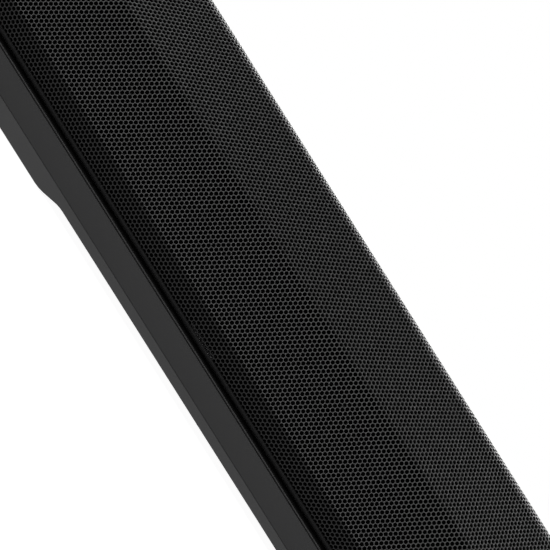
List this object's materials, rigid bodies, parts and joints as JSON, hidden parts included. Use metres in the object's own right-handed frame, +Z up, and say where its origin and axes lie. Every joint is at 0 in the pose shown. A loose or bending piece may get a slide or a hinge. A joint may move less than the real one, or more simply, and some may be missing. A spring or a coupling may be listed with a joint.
{
  "type": "soundbar",
  "caption": "Long low soundbar with a folded perforated metal grille, moulded feet, top buttons and a rear connector bay.",
  "frame": {"origin": "middle of the footprint, on the surface that the rubber pads stand on", "axes": "+X to the right seen from the front, -Y out of the grille, +Z up"},
  "size_m": [1, 0.12, 0.0708],
  "materials": {
    "grille_metal": "satin black powder coat",
    "band_plastic": "fine matt texture",
    "base_plastic": "fine matt texture",
    "cover_plastic": "fine matt texture",
    "inner_plastic": "moulded",
    "button_plastic": "satin",
    "pad_rubber": "matt",
    "scrim_cloth": "black acoustic cloth",
    "cone_paper": "pressed fibre",
    "steel": "zinc plated",
    "magnet_iron": "ferrite",
    "board_green": "solder mask",
    "chip_black": "epoxy",
    "alloy": "plain",
    "core": "laminated",
    "brass": "plain",
    "lead_jacket": "plain"
  },
  "bodies": {
    "root": {"acoustic_scrim": "scrim_cloth", "antennas": "board_green", "aux_jack": "inner_plastic", "base_plate": "base_plastic", "bass_ports": "inner_plastic", "board_chips": "chip_black", "board_standoffs": "brass", "button_board": "board_green", "capacitors": "alloy", "chamber_frame": "inner_plastic", "display_board": "board_green", "driver_baskets": "inner_plastic", "driver_gaskets": "pad_rubber", "driver_magnets": "magnet_iron", "driver_screws": "steel", "driver_spiders": "scrim_cloth", "driver_surrounds": "pad_rubber", "foam_seal": "pad_rubber", "foot_pads": "pad_rubber", "front_baffle": "inner_plastic", "front_grille": "grille_metal", "grille_clips": "steel", "hdmi_sockets": "steel", "heat_sink": "alloy", "housing_screws": "steel", "infrared_receiver": "inner_plastic", "inlet_pins": "steel", "left_end_cap": "cover_plastic", "lower_housing": "band_plastic", "main_board": "board_green", "optical_socket": "inner_plastic", "port_panel": "inner_plastic", "power_board": "board_green", "power_inlet": "inner_plastic", "power_lead": "lead_jacket", "rear_housing": "cover_plastic", "right_end_cap": "cover_plastic", "speaker_harness": "lead_jacket", "tact_switches": "chip_black", "top_cover": "cover_plastic", "transformer": "core", "tweeter_bodies": "inner_plastic", "tweeter_domes": "scrim_cloth", "tweeter_magnets": "magnet_iron", "usb_socket": "steel", "wall_inserts": "brass", "wireless_module": "board_green"},
    "cone_left_outer": {"cone_left_outer": "cone_paper"},
    "cone_left_inner": {"cone_left_inner": "cone_paper"},
    "cone_centre": {"cone_centre": "cone_paper"},
    "cone_right_inner": {"cone_right_inner": "cone_paper"},
    "cone_right_outer": {"cone_right_outer": "cone_paper"},
    "button_power": {"button_power": "button_plastic"},
    "button_source": {"button_source": "button_plastic"},
    "button_volume_down": {"button_volume_down": "button_plastic"},
    "button_volume_up": {"button_volume_up": "button_plastic"},
    "button_play": {"button_play": "button_plastic"},
    "optical_shutter": {"optical_shutter": "inner_plastic"}
  },
  "joints": [
    {"name": "cone_left_outer_stroke", "type": "slide", "parent": "root", "child": "cone_left_outer", "axis": [0, -0.9494, 0.314], "range_m": [-0.0025, 0.0025], "stiffness_N_per_m": 2000},
    {"name": "cone_left_inner_stroke", "type": "slide", "parent": "root", "child": "cone_left_inner", "axis": [0, -0.9494, 0.314], "range_m": [-0.0025, 0.0025], "stiffness_N_per_m": 2000},
    {"name": "cone_centre_stroke", "type": "slide", "parent": "root", "child": "cone_centre", "axis": [0, -0.9494, 0.314], "range_m": [-0.0025, 0.0025], "stiffness_N_per_m": 2000},
    {"name": "cone_right_inner_stroke", "type": "slide", "parent": "root", "child": "cone_right_inner", "axis": [0, -0.9494, 0.314], "range_m": [-0.0025, 0.0025], "stiffness_N_per_m": 2000},
    {"name": "cone_right_outer_stroke", "type": "slide", "parent": "root", "child": "cone_right_outer", "axis": [0, -0.9494, 0.314], "range_m": [-0.0025, 0.0025], "stiffness_N_per_m": 2000},
    {"name": "button_power_press", "type": "slide", "parent": "root", "child": "button_power", "axis": [0, 0, -1], "range_m": [0, 0.0007], "stiffness_N_per_m": 2500},
    {"name": "button_source_press", "type": "slide", "parent": "root", "child": "button_source", "axis": [0, 0, -1], "range_m": [0, 0.0007], "stiffness_N_per_m": 2500},
    {"name": "button_volume_down_press", "type": "slide", "parent": "root", "child": "button_volume_down", "axis": [0, 0, -1], "range_m": [0, 0.0007], "stiffness_N_per_m": 2500},
    {"name": "button_volume_up_press", "type": "slide", "parent": "root", "child": "button_volume_up", "axis": [0, 0, -1], "range_m": [0, 0.0007], "stiffness_N_per_m": 2500},
    {"name": "button_play_press", "type": "slide", "parent": "root", "child": "button_play", "axis": [0, 0, -1], "range_m": [0, 0.0007], "stiffness_N_per_m": 2500},
    {"name": "optical_shutter_hinge", "type": "hinge", "parent": "root", "child": "optical_shutter", "pos_m": [-0.028, 0.0448, 0.0326], "axis": [-1, 0, 0], "range_deg": [0, 75], "stiffness_Nm_per_rad": 0.0002}
  ]
}
